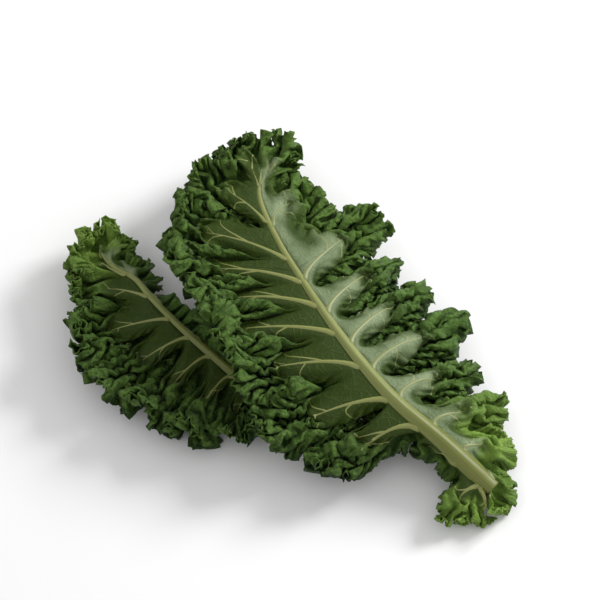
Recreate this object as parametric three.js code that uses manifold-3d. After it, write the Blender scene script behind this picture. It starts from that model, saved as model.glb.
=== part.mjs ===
// A bunch of two curly kale leaves, lying with their ribbed undersides up, one over the other.
// Millimetres, +Z up. The lowest curls touch z = 0, and the bunch is centred on the origin.

import * as THREE from "three";
import { mergeVertices } from "three/addons/utils/BufferGeometryUtils.js";
import Module from "manifold-3d";

const wasm = await Module();
wasm.setup();

// ---- Driving dimensions ------------------------------------------------------------------------

const BLADE_THICKNESS = 0.8;
const RIB_GAP = 0.3; // between the blade and the rib that lies along it
const CURL_LENGTH = 12.5; // margin taken up by one curl of the frill
const COLUMN_SPACING = 4.6; // length of frilled edge between two columns of the mesh
const TABLE_SOFTNESS = 6; // curls lower than this are pressed flatter the nearer they are to the table

// Each leaf: the line of its midrib from the cut end to the tip, and its side veins in order, from the base
// up the left side, round the tip and down the right side. A vein gives the place where it leaves the rib,
// as a share of the rib's length, and the point where it reaches the margin.
const LARGE_LEAF = {
  rib: [
    [140, -137, 20],
    [105.7, -110, 38],
    [70, -81.7, 51],
    [39, -43, 57],
    [7.7, 9.7, 56],
    [-7.7, 41, 52],
    [-21, 82, 44],
    [-20, 104, 39],
  ],
  veins: [
    [0.03, 119, -163, 14],
    [0.14, 80, -133, 16],
    [0.26, 31, -134, 17],
    [0.34, -22, -104, 22],
    [0.45, -42, -65, 40],
    [0.54, -60, -31, 45],
    [0.62, -74, -2, 43],
    [0.69, -82, 28, 38],
    [0.77, -90, 67, 28],
    [0.9, -72, 112, 23],
    [0.985, -44, 142, 22],
    [0.985, 1, 140, 22],
    [0.88, 30, 104, 22],
    [0.7, 70, 76, 20],
    [0.59, 84, 46, 18],
    [0.49, 102, 23, 17],
    [0.41, 121, -6, 17],
    [0.32, 136, -36, 17],
    [0.22, 154, -67, 16],
    [0.13, 161, -101, 15],
    [0.045, 163, -136, 14],
  ],
  tipVein: 10.5, // the vein count at the tip, where the left side passes into the right
  ribHalfWidth: [1.4, 4.9, 2], // at the tip, what is added towards the cut end, and the power of that taper
  lobeWave: 55, // steepest slope of the folds between the veins, degrees
  curlWave: 78, // steepest slope of the curls, degrees
  roll: [62, 34], // how far the margin rolls up, degrees: the mean, and the swing from vein to vein
  veinScale: 1,
  phase: 0.4,
};

const SMALL_LEAF = {
  rib: [
    [8, -80, 5],
    [-25, -52, 7],
    [-50, -30, 11],
    [-73, -11, 18],
    [-96.6, 11, 26],
    [-108, 25.6, 27],
    [-123, 36.5, 25],
    [-133, 48, 22],
  ],
  veins: [
    [0.25, -46, -99, 14],
    [0.36, -76, -98, 15],
    [0.47, -110, -86, 15],
    [0.57, -136, -61, 15],
    [0.67, -154, -26, 15],
    [0.79, -160, 16, 15],
    [0.91, -156, 58, 15],
    [1, -132, 79, 16],
    [0.97, -108, 71, 15],
    [0.87, -96, 49, 13],
    [0.74, -84, 22, 10],
    [0.55, -62, -6, 8],
    [0.35, -30, -32, 8],
  ],
  tipVein: 7,
  ribHalfWidth: [1.2, 3.2, 1.5],
  lobeWave: 55,
  curlWave: 78,
  roll: [46, 30],
  veinScale: 0.8,
  phase: 2.1,
};

// ---- Blade --------------------------------------------------------------------------------------

// Rows of the blade, from the rib to the margin: share of the way, and how many columns one cell spans.
const BLADE_ROWS = [
  { v: 0, step: 4 },
  { v: 0.22, step: 4 },
  { v: 0.44, step: 4 },
  { v: 0.62, step: 2 },
  { v: 0.77, step: 1 },
  { v: 0.89, step: 1 },
  { v: 1, step: 1 },
];
const COARSEST_STEP = 4;
const SAMPLES_PER_COLUMN = 8;
const NOTCH_DEPTH = 0.28; // how far the margin draws in between two veins, as a share of the blade's width
const NOTCH_POWER = 1.1;
const FLAT_SHARE = 0.64; // share of the way to the margin at which the blade starts to roll up
const ROLL_PACE = 2.3; // how fast the roll changes from vein to vein, radians
const LOBE_START = 0.05; // shares of the way to the margin between which the folds between the veins
const LOBE_FULL = 0.85; // grow to their full slope
const CURL_START = 0.55; // and those between which the curls do
const CURL_FULL = 0.95;
const BASE_EASE = 0.5; // vein counts over which folds and curls set in from the base of the blade
const CURL_UNEVEN = [0.7, 0.42]; // how much the curls run late or early, radians: slow and quick drift
const UNEVEN_LENGTH = [17, 7.3]; // of margin to one radian of those drifts
const FRILL_STRETCH = 2.4; // length of the frilled edge for one length of margin
const MARGIN_STEPS = 10; // in which the margin between two veins is measured
const LEAST_CELLS = 3; // of the coarsest size between two veins
const PROBE = 0.01; // step in vein count and share of the way over which slopes are measured
const MOST_ROUNDS = 40; // of easing folds that touch
const EASED_COLUMNS = 4; // to either side of one that touches
const EASING = 0.93;
const SEARCH_CELL = 4;
const DOME_POWER = 1.5; // how late the blade bends down from the rib towards the margin
const STRIP_MARGIN = 0.8; // flat blade beside the rib
const TIP_TURN = 0.9; // share of the rib's length from which the blade fans out round its tip

const radians = THREE.MathUtils.degToRad;
const smooth = (a, b, x) => THREE.MathUtils.smoothstep(x, a, b);
const curveThrough = (points) =>
  new THREE.CatmullRomCurve3(points.map((p) => new THREE.Vector3(...p)), false, "centripetal");

// Half the rib's width at a share t of its length from the cut end.
function ribHalfWidth(leaf, t) {
  const [tip, added, power] = leaf.ribHalfWidth;
  return tip + added * (1 - t) ** power;
}

// The blade before it is folded: a point at vein count q and share v of the way from the rib to the margin.
function plainBlade(leaf) {
  const rib = curveThrough(leaf.rib);
  const margin = curveThrough(leaf.veins.map(([, x, y, z]) => [x, y, z]));
  const last = leaf.veins.length - 1;
  const origins = new THREE.CatmullRomCurve3(
    leaf.veins.map(([t], i) => new THREE.Vector3(t, i, 0)),
    false,
    "catmullrom",
  );
  const origin = (q) => THREE.MathUtils.clamp(origins.getPoint(q / last).x, 0, 1);
  return (q, v) => {
    const held = THREE.MathUtils.clamp(q, 0, last);
    const t = origin(held);
    const start = rib.getPointAt(t);
    const along = rib.getTangentAt(t);
    const end = margin.getPoint(held / last);
    const side = new THREE.Vector3(-along.y, along.x, 0).normalize();
    if (held > leaf.tipVein) side.negate();
    const forward = end.clone().sub(start).setZ(0).normalize();
    side.lerp(forward, smooth(TIP_TURN, 1, t)).normalize();
    start.addScaledVector(side, ribHalfWidth(leaf, t) + STRIP_MARGIN);
    const width = start.distanceTo(end.clone().setZ(start.z));
    const out = end.clone().sub(start).setZ(0).normalize();
    const roll = radians(leaf.roll[0] + leaf.roll[1] * Math.sin(ROLL_PACE * held + leaf.phase));
    const arc = Math.max(v - FLAT_SHARE, 0);
    const turned = (roll * arc) / (1 - FLAT_SHARE);
    const full = FLAT_SHARE + ((1 - FLAT_SHARE) * Math.sin(roll)) / roll;
    const reach = Math.min(v, FLAT_SHARE) + ((1 - FLAT_SHARE) * Math.sin(turned)) / roll;
    const rise = ((1 - FLAT_SHARE) * (1 - Math.cos(turned))) / roll;
    const point = start.clone().addScaledVector(out, (width * reach) / full);
    point.z = THREE.MathUtils.lerp(start.z, end.z, Math.max(v, 0) ** DOME_POWER) + (width * rise) / full;
    return point;
  };
}

// How far out a column reaches: the margin draws in between two veins.
function drawnIn(q) {
  return 1 - NOTCH_DEPTH * (0.5 - 0.5 * Math.cos(2 * Math.PI * q)) ** NOTCH_POWER;
}

// One row of the folded blade. The edge runs as a meander: its direction swings up and down as it goes, so
// that it gets longer than the line it follows, in folds that stay clear of each other.
function foldedRow(leaf, plain, v, columns, curlPhase, ease) {
  const last = leaf.veins.length - 1;
  const lobe = radians(leaf.lobeWave) * smooth(LOBE_START, LOBE_FULL, v);
  const curl = radians(leaf.curlWave) * smooth(CURL_START, CURL_FULL, v);
  const fine = [];
  for (let i = 0; i < columns.length - 1; i++) {
    for (let k = 0; k < SAMPLES_PER_COLUMN; k++) {
      fine.push(THREE.MathUtils.lerp(columns[i], columns[i + 1], k / SAMPLES_PER_COLUMN));
    }
  }
  fine.push(columns.at(-1));
  const centre = fine.map((q) => plain(q, v * drawnIn(q)));
  const steps = centre.map((p, i) => (i ? p.distanceTo(centre[i - 1]) : 0));
  const slope = fine.map((q, i) => {
    const column = Math.floor(i / SAMPLES_PER_COLUMN);
    const f = i / SAMPLES_PER_COLUMN - column;
    const held = THREE.MathUtils.lerp(ease[column], ease[column + 1] ?? ease[column], f);
    return held * (-lobe * Math.sin(2 * Math.PI * q) + curl * Math.sin(curlPhase(q)));
  });
  const total = steps.reduce((sum, s) => sum + s, 0);
  const reach = steps.reduce((sum, s, i) => sum + s * Math.cos(slope[i]), 0);
  const line = [];
  let shift = 0;
  let height = 0;
  steps.forEach((s, i) => {
    shift += (s * total * Math.cos(slope[i])) / reach - s;
    height += (s * total * Math.sin(slope[i])) / reach;
    line.push({ q: fine[i], shift, height });
  });
  // The drift from vein to vein is taken out, so that every vein stays on the crest of its fold.
  const crest = [];
  for (let k = 0; k <= last; k++) {
    crest.push(line[nearest(fine, k)]);
  }
  return columns.map((q, i) => {
    const p = line[i * SAMPLES_PER_COLUMN];
    const k = Math.min(Math.floor(q), last - 1);
    const f = q - k;
    const along = p.shift - THREE.MathUtils.lerp(crest[k].shift, crest[k + 1].shift, f);
    const up = p.height - THREE.MathUtils.lerp(crest[k].height, crest[k + 1].height, f);
    const out = v * drawnIn(q);
    const pace = plain(q + PROBE, out).distanceTo(plain(q - PROBE, out)) / (2 * PROBE);
    const at = THREE.MathUtils.clamp(q + along / pace, 0, last);
    const point = plain(at, out).addScaledVector(normalAt(plain, at, out), up);
    if (point.z < TABLE_SOFTNESS) {
      point.z = TABLE_SOFTNESS * Math.exp(point.z / TABLE_SOFTNESS - 1);
    }
    return point;
  });
}

// The place in a list of the value nearest the wanted one.
function nearest(values, wanted) {
  let best = 0;
  values.forEach((value, i) => {
    if (Math.abs(value - wanted) < Math.abs(values[best] - wanted)) best = i;
  });
  return best;
}

// The place in a rising list of the last value that isn't above the wanted one.
function nearestBelow(rising, wanted) {
  let low = 0;
  let high = rising.length - 1;
  while (high - low > 1) {
    const middle = (low + high) >> 1;
    if (rising[middle] <= wanted) low = middle;
    else high = middle;
  }
  return low;
}

// The direction straight up from the plain blade.
function normalAt(plain, q, v) {
  const across = plain(q + PROBE, v).sub(plain(q - PROBE, v));
  const out = plain(q, v + PROBE).sub(plain(q, v - PROBE));
  return across.cross(out).normalize();
}

// The columns of a blade: a whole number of the coarsest cells between two veins, so that a column runs
// along every vein.
function bladeColumns(leaf, plain) {
  const columns = [0];
  for (let k = 0; k < leaf.veins.length - 1; k++) {
    let span = 0;
    for (let i = 0; i < MARGIN_STEPS; i++) {
      const from = k + i / MARGIN_STEPS;
      const to = k + (i + 1) / MARGIN_STEPS;
      span += plain(from, drawnIn(from)).distanceTo(plain(to, drawnIn(to)));
    }
    const cells = Math.max(
      LEAST_CELLS,
      Math.round((span * FRILL_STRETCH) / COLUMN_SPACING / COARSEST_STEP),
    );
    for (let i = 1; i <= cells * COARSEST_STEP; i++) {
      columns.push(k + i / (cells * COARSEST_STEP));
    }
  }
  return columns;
}

// A sheet of even thickness on a mesh of points. Both faces share the same triangles, and a rim closes them.
function thickSheet(points, triangles) {
  const normals = points.map(() => new THREE.Vector3());
  triangles.forEach(([a, b, c]) => {
    const face = points[b].clone().sub(points[a]).cross(points[c].clone().sub(points[a]));
    [a, b, c].forEach((i) => normals[i].add(face));
  });
  const positions = [];
  normals.forEach((normal) => normal.normalize());
  [1, -1].forEach((face) => {
    points.forEach((p, i) => {
      positions.push(...p.clone().addScaledVector(normals[i], (face * BLADE_THICKNESS) / 2).toArray());
    });
  });
  const count = points.length;
  const index = [];
  const edges = new Map();
  triangles.forEach(([a, b, c]) => {
    index.push(a, b, c, a + count, c + count, b + count);
    [
      [a, b],
      [b, c],
      [c, a],
    ].forEach(([from, to]) => {
      if (!edges.delete(to + "," + from)) edges.set(from + "," + to, [from, to]);
    });
  });
  edges.forEach(([from, to]) => {
    index.push(to, from, from + count, to, from + count, to + count);
  });
  return { sheet: indexedGeometry(positions, index), normals };
}

// A geometry of corners, three to a triangle, that point into a list of places.
function indexedGeometry(positions, index) {
  return new THREE.BufferGeometry()
    .setAttribute("position", new THREE.Float32BufferAttribute(positions, 3))
    .setIndex(index);
}

// Folds that touch one another are eased, and the sheet is made again, until all of it is clear.
function bladeGeometry(leaf) {
  const plain = plainBlade(leaf);
  const columns = bladeColumns(leaf, plain);
  const last = leaf.veins.length - 1;
  const ease = columns.map((q) => smooth(0, BASE_EASE, q) * smooth(0, BASE_EASE, last - q));
  for (let round = 0; round < MOST_ROUNDS; round++) {
    const { points, columnOf, triangles, crests } = bladeMesh(leaf, plain, columns, ease);
    const { sheet, normals } = thickSheet(points, triangles);
    const touching = crossings(sheet);
    if (!touching.size) {
      const veins = crests.map((crest) => crest.map((i) => ({ point: points[i], normal: normals[i] })));
      return { sheet, veins };
    }
    const eased = new Set();
    touching.forEach((vertex) => {
      const column = columnOf[vertex % points.length];
      for (let i = column - EASED_COLUMNS; i <= column + EASED_COLUMNS; i++) eased.add(i);
    });
    eased.forEach((i) => {
      if (i in ease) ease[i] *= EASING;
    });
  }
  throw new Error("the folds still touch");
}

// The vertices of triangles that cross one another.
function crossings(sheet) {
  const position = sheet.getAttribute("position");
  const index = sheet.index.array;
  const corner = Array.from(index, (i) => new THREE.Vector3().fromBufferAttribute(position, i));
  const cells = new Map();
  for (let t = 0; t < index.length; t += 3) {
    const box = new THREE.Box3().setFromPoints(corner.slice(t, t + 3));
    const from = box.min.divideScalar(SEARCH_CELL).floor();
    const to = box.max.divideScalar(SEARCH_CELL).floor();
    for (let x = from.x; x <= to.x; x++) {
      for (let y = from.y; y <= to.y; y++) {
        for (let z = from.z; z <= to.z; z++) {
          const key = x + "," + y + "," + z;
          if (!cells.has(key)) cells.set(key, []);
          cells.get(key).push(t);
        }
      }
    }
  }
  const found = new Set();
  cells.forEach((list) => {
    list.forEach((s, i) => {
      list.slice(i + 1).forEach((t) => {
        const shared = [0, 1, 2].some((k) => [0, 1, 2].some((m) => index[s + k] === index[t + m]));
        if (!shared && (pierces(corner, s, t) || pierces(corner, t, s))) {
          found.add(index[s]).add(index[t]);
        }
      });
    });
  });
  return found;
}

// Whether an edge of the triangle at s passes through the triangle at t.
const ray = new THREE.Ray();
const hit = new THREE.Vector3();
function pierces(corner, s, t) {
  for (let k = 0; k < 3; k++) {
    const from = corner[s + k];
    const to = corner[s + ((k + 1) % 3)];
    const length = from.distanceTo(to);
    ray.origin.copy(from);
    ray.direction.copy(to).sub(from).normalize();
    const met = ray.intersectTriangle(corner[t], corner[t + 1], corner[t + 2], false, hit);
    if (met && met.distanceTo(from) < length) return true;
  }
  return false;
}

// The mesh of a blade: its points, the column of each, its triangles, and the points along each vein.
function bladeMesh(leaf, plain, columns, ease) {
  const marginLength = [0];
  columns.slice(1).forEach((q, i) => {
    const before = columns[i];
    marginLength.push(marginLength[i] + plain(q, drawnIn(q)).distanceTo(plain(before, drawnIn(before))));
  });
  const curlPhase = (q) => {
    const j = Math.min(nearestBelow(columns, q), columns.length - 2);
    const f = (q - columns[j]) / (columns[j + 1] - columns[j]);
    const length = THREE.MathUtils.lerp(marginLength[j], marginLength[j + 1], f);
    const [slow, quick] = CURL_UNEVEN.map((size, n) => {
      return size * Math.sin(length / UNEVEN_LENGTH[n] + (n + 1) * leaf.phase);
    });
    return (2 * Math.PI * length) / CURL_LENGTH + slow + quick;
  };
  const points = [];
  const columnOf = [];
  const crests = leaf.veins.map(() => []);
  const rows = BLADE_ROWS.map(({ v, step }) => {
    const row = foldedRow(leaf, plain, v, columns, curlPhase, ease);
    const ids = new Map();
    for (let i = 0; i < columns.length; i += step) {
      ids.set(i, points.length);
      if (Number.isInteger(columns[i]) && v < VEIN_END) crests[columns[i]].push(points.length);
      points.push(row[i]);
      columnOf.push(i);
    }
    return ids;
  });
  const triangles = [];
  for (let j = 0; j < rows.length - 1; j++) {
    const wide = BLADE_ROWS[j].step;
    const narrow = BLADE_ROWS[j + 1].step;
    for (let i = 0; i + wide < columns.length; i += wide) {
      const a = rows[j].get(i);
      const b = rows[j].get(i + wide);
      const c = rows[j + 1].get(i);
      const d = rows[j + 1].get(i + wide);
      if (wide === narrow) {
        triangles.push([a, b, c], [b, d, c]);
      } else {
        const m = rows[j + 1].get(i + narrow);
        triangles.push([a, m, c], [a, b, m], [b, d, m]);
      }
    }
  }
  // Under the rib the left and right halves are one flat strip.
  const inner = [...rows[0].entries()];
  const left = inner.filter(([i]) => columns[i] <= leaf.tipVein).map(([, id]) => id);
  const right = inner.filter(([i]) => columns[i] > leaf.tipVein).map(([, id]) => id).reverse();
  let l = 0;
  let r = 0;
  while (l < left.length - 1 || r < right.length - 1) {
    const stepLeft =
      r === right.length - 1 ||
      (l < left.length - 1 &&
        points[left[l + 1]].distanceTo(points[right[r]]) < points[left[l]].distanceTo(points[right[r + 1]]));
    if (stepLeft) {
      triangles.push([left[l], right[r], left[l + 1]]);
      l++;
    } else {
      triangles.push([left[l], right[r], right[r + 1]]);
      r++;
    }
  }
  return { points, columnOf, triangles, crests };
}

// ---- Rib ----------------------------------------------------------------------------------------

const RIB_RINGS = 26;
const RIB_END = 0.95; // share of the midrib's line at which the rib has sunk into the blade
const RIB_ARC_POINTS = 8;
const VEIN_ARC_POINTS = 3;
const ROUNDNESS = 1.35; // height of a rib or vein for half of its width
const VEIN_HALF_WIDTH = 1.7; // at its root
const VEIN_TAPER = 0.65; // share of that width lost at its end
const VEIN_LIFT = 0.3; // how much higher than the rib a side vein lies, clear of the bends of the blade
const VEIN_END = 0.75; // share of the way to the margin that a side vein reaches

// A solid strand: flat where it lies along the blade, round above. Each ring has the middle of its flat
// foot, its half width, and the directions across and up.
function strand(rings, arcPoints) {
  const count = arcPoints + 1;
  const positions = [];
  rings.forEach(({ foot, width, side, up }) => {
    for (let i = 0; i < count; i++) {
      const angle = (Math.PI * i) / arcPoints;
      const point = foot
        .clone()
        .addScaledVector(side, width * Math.cos(angle))
        .addScaledVector(up, width * ROUNDNESS * Math.sin(angle));
      positions.push(...point.toArray());
    }
  });
  const index = [];
  for (let k = 0; k < rings.length - 1; k++) {
    for (let i = 0; i < count; i++) {
      const a = k * count + i;
      const b = k * count + ((i + 1) % count);
      index.push(a, a + count, b, b, a + count, b + count);
    }
  }
  const end = (rings.length - 1) * count;
  for (let i = 1; i < count - 1; i++) {
    index.push(0, i, i + 1, end, end + i + 1, end + i);
  }
  return indexedGeometry(positions, index);
}

// The rib, thickest at the cut end, and the side veins that leave it along the crests of the blade.
function ribGeometry(leaf, veins) {
  const path = curveThrough(leaf.rib);
  const above = BLADE_THICKNESS / 2 + RIB_GAP;
  const ringAt = (t) => {
    const along = path.getTangentAt(t);
    const side = new THREE.Vector3(along.y, -along.x, 0).normalize();
    const up = side.clone().cross(along).normalize();
    return { foot: path.getPointAt(t).addScaledVector(up, above), width: ribHalfWidth(leaf, t), side, up };
  };
  const rings = [];
  for (let k = 0; k < RIB_RINGS; k++) {
    rings.push(ringAt((RIB_END * k) / (RIB_RINGS - 1)));
  }
  const strands = [strand(rings, RIB_ARC_POINTS)];
  veins.forEach((crest, k) => {
    const root = ringAt(Math.min(leaf.veins[k][0], RIB_END));
    const feet = [root.foot];
    crest.forEach(({ point, normal }) => {
      feet.push(point.clone().addScaledVector(normal, above + VEIN_LIFT));
    });
    const ups = [root.up, ...crest.map(({ normal }) => normal)];
    const veinRings = feet.map((foot, i) => {
      const along = feet[Math.min(i + 1, feet.length - 1)].clone().sub(feet[Math.max(i - 1, 0)]);
      const side = along.cross(ups[i]).normalize();
      const width = VEIN_HALF_WIDTH * leaf.veinScale * (1 - (VEIN_TAPER * i) / (feet.length - 1));
      return { foot, width, side, up: ups[i] };
    });
    strands.push(strand(veinRings, VEIN_ARC_POINTS));
  });
  const whole = strands.map(solidOf).reduce((sum, solid) => sum.add(solid));
  const { vertProperties, triVerts } = whole.getMesh();
  return indexedGeometry(Array.from(vertProperties), Array.from(triVerts));
}

// A closed geometry as a solid that can be joined.
function solidOf(geometry) {
  const merged = mergeVertices(geometry);
  return new wasm.Manifold(
    new wasm.Mesh({
      numProp: 3,
      vertProperties: merged.attributes.position.array,
      triVerts: new Uint32Array(merged.index.array),
    }),
  );
}

// ---- Bunch --------------------------------------------------------------------------------------

const bladeGreen = new THREE.MeshStandardMaterial({ color: 0x3f6b2a, roughness: 0.55, metalness: 0 });
const ribGreen = new THREE.MeshStandardMaterial({ color: 0xa9b07a, roughness: 0.5, metalness: 0 });

const bunch = new THREE.Group();
[
  ["leaf_1", LARGE_LEAF],
  ["leaf_2", SMALL_LEAF],
].forEach(([name, leaf]) => {
  const { sheet, veins } = bladeGeometry(leaf);
  const blade = new THREE.Mesh(sheet, bladeGreen.clone());
  blade.name = name + "_blade";
  const rib = new THREE.Mesh(ribGeometry(leaf, veins), ribGreen.clone());
  rib.name = name + "_rib";
  bunch.add(blade, rib);
});

// The bunch stands on z = 0, over the middle of its outline.
const box = new THREE.Box3().setFromObject(bunch);
const middle = box.getCenter(new THREE.Vector3()).setZ(box.min.z);
bunch.children.forEach((mesh) => mesh.geometry.translate(-middle.x, -middle.y, -middle.z));

export default bunch;
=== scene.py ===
# Two curly kale leaves, lying with their ribbed undersides up, the smaller one half under the larger.

import math
from collections import namedtuple

import bpy
import numpy as np
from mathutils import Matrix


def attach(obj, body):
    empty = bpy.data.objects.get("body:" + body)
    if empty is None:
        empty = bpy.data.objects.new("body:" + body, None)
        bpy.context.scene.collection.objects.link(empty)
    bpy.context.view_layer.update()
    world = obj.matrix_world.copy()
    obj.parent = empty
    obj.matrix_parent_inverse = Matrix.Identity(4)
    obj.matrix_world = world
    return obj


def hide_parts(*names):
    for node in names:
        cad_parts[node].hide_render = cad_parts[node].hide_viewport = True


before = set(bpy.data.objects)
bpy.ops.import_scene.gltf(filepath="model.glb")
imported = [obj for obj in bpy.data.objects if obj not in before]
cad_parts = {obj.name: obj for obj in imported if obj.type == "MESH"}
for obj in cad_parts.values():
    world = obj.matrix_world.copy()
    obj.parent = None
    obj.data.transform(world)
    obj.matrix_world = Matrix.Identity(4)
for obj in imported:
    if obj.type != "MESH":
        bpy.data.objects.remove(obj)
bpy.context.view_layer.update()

# ---- Blades ----
# Each leaf has one thin green blade that grew faster at its edge than beside its rib, so the edge is
# thrown into lobes, curls and fine crimps. It is waxy above and greyer below, where the veins stand out.

MM = 0.001
MIDDLE = np.array((1.72, -9.61, 0.08))  # of the whole bunch, in the millimetres of the tables below

# A leaf's midrib is given from its cut end to its tip, and its side veins from the base up the left side,
# round the tip and down the right. Each vein's row holds the share of the rib where it starts, where the
# margin is at its end, how far the margin is drawn in and how far it hangs there, and how deep the blade
# is cut between this vein and the next. The other lists give places by vein count, each with how many veins
# it reaches and how strong it is: where the edge grew less, where the frill is wider, and where it is young
# and lighter, with painted light laid the same way on the frill at the tip.
LARGE_LEAF = {
    "rib": [
        (140, -137, 20), (105.7, -110, 38), (70, -81.7, 51), (39, -43, 57),
        (7.7, 9.7, 56), (-7.7, 41, 52), (-21, 82, 44), (-20, 104, 39),
    ],
    "rib_half_width": (0.9, 4.6, 1.9),
    "veins": [
        (0.02, (139, -158, 8), 2, 10, 0.4),
        (0.045, (104, -156, 14), 4, 10, 0.9),
        (0.14, (76, -119, 16), 27, 10, 0.95),
        (0.26, (21, -128, 17), 9, 9, 0.88),
        (0.34, (-22, -104, 22), 8, 2, 0.5),
        (0.45, (-42, -65, 40), 10, 0, 0.5),
        (0.54, (-60, -31, 45), 12, 0, 0.55),
        (0.62, (-74, -2, 43), 10, 0, 0.45),
        (0.69, (-82, 28, 38), 8, 0, 0.55),
        (0.77, (-90, 67, 28), 14, 0, 0.82),
        (0.9, (-72, 112, 23), 13, 0, 0.5),
        (0.985, (-44, 142, 22), 18, 0, 0.45),
        (0.985, (1, 140, 22), 16, 0, 0.6),
        (0.88, (30, 104, 22), 24, 4, 0.35),
        (0.7, (70, 76, 20), 17, 7, 0.85),
        (0.59, (84, 46, 18), 16, 10, 0.78),
        (0.49, (102, 23, 17), 15, 12, 0.8),
        (0.41, (121, -6, 17), 11, 13, 0.82),
        (0.32, (136, -36, 17), 15, 13, 0.65),
        (0.22, (154, -67, 16), 14, 12, 0.5),
        (0.13, (161, -101, 15), 13, 11, 0.5),
        (0.045, (160, -138, 14), 16, 10, 0.5),
        (0.02, (137, -157, 17), 4, 8, 0),
    ],
    "vein_scale": 1.0,
    "tip_vein": 11.5,
    "roll": (84, 24),
    "phase": 0.4,
    "calm": [(20, 0.8, 0.5), (0.4, 0.7, 0.5), (1.6, 0.4, 0.6), (2.5, 0.35, 0.5), (22, 0.7, 0.5)],
    "fuller": [(1.5, 0.4, 0.4), (3.4, 1.0, 0.4)],
    # The last of these places, over the tip, is painted light on the frill there.
    "young": [(19.8, 1.0, 1.0), (22, 0.8, 1.0), (0.4, 0.9, 1.0), (12, 2.6, 0.16)],
}
SMALL_LEAF = {
    "rib": [
        (8, -80, 5), (-25, -52, 7), (-50, -30, 11), (-73, -11, 18),
        (-96.6, 11, 26), (-108, 25.6, 27), (-123, 36.5, 25), (-133, 48, 22),
    ],
    "rib_half_width": (0.8, 2.8, 1.5),
    "veins": [
        (0.14, (-22, -98, 14), 6, 0, 0.75),
        (0.25, (-46, -99, 14), 9, 0, 0.85),
        (0.36, (-76, -98, 15), 10, 0, 0.85),
        (0.47, (-110, -86, 15), 16, 0, 0.8),
        (0.57, (-136, -61, 15), 8, 0, 0.6),
        (0.67, (-154, -26, 15), 10, 0, 0.55),
        (0.79, (-160, 16, 15), 14, 0, 0.5),
        (0.91, (-156, 58, 15), 16, 0, 0.4),
        (1, (-132, 79, 16), 15, 0, 0.6),
        (0.97, (-108, 71, 15), 18, 0, 0.7),
        (0.87, (-96, 49, 13), 20, 0, 0.7),
        (0.74, (-84, 22, 10), 16, 0, 0.6),
        (0.55, (-62, -6, 8), 10, 0, 0.6),
        (0.35, (-30, -32, 8), 10, 0, 0),
    ],
    "vein_scale": 0.75,
    "tip_vein": 8,
    "roll": (76, 26),
    "phase": 2.1,
    "calm": [],
    "fuller": [(2.2, 1.8, 0.75)],
    "young": [(7.9, 1.5, 1.0)],
}

ZONE = 46 * MM  # how wide a strip along the margin is frilled
FLAT_SHARE = 0.64  # of the way from the rib to the margin, past which the blade rolls up
ROLL_PACE = 2.3
DOME_POWER = 1.5
RIB_GAP = 0.8 * MM
TIP_TURN = 0.9  # the share of the rib past which the blade turns toward the tip


def smooth(a, b, x):
    t = np.clip((x - a) / (b - a), 0, 1)
    return t * t * (3 - 2 * t)


def unit(v):
    return v / np.maximum(np.linalg.norm(v, axis=-1, keepdims=True), 1e-12)


def bell(x, middle, spread):
    return np.exp(-(((x - middle) / spread) ** 2))


def spline(points, u, centripetal=True):
    """Points of a smooth line through the given ones, at counts u along them."""
    points = np.asarray(points, float)
    whole = np.vstack((2 * points[0] - points[1], points, 2 * points[-1] - points[-2]))
    i = np.clip(np.floor(u).astype(int), 0, len(points) - 2)
    f = (u - i)[..., None]
    p0, p1, p2, p3 = whole[i], whole[i + 1], whole[i + 2], whole[i + 3]
    if centripetal:
        d0, d1, d2 = (
            np.linalg.norm(b - a, axis=-1)[..., None] ** 0.5 for a, b in ((p0, p1), (p1, p2), (p2, p3))
        )
        m1 = ((p1 - p0) / d0 - (p2 - p0) / (d0 + d1) + (p2 - p1) / d1) * d1
        m2 = ((p2 - p1) / d1 - (p3 - p1) / (d1 + d2) + (p3 - p2) / d2) * d1
    else:
        m1, m2 = (p2 - p0) / 2, (p3 - p1) / 2
    return p1 + m1 * f + (3 * (p2 - p1) - 2 * m1 - m2) * f**2 + (2 * (p1 - p2) + m1 + m2) * f**3


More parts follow.
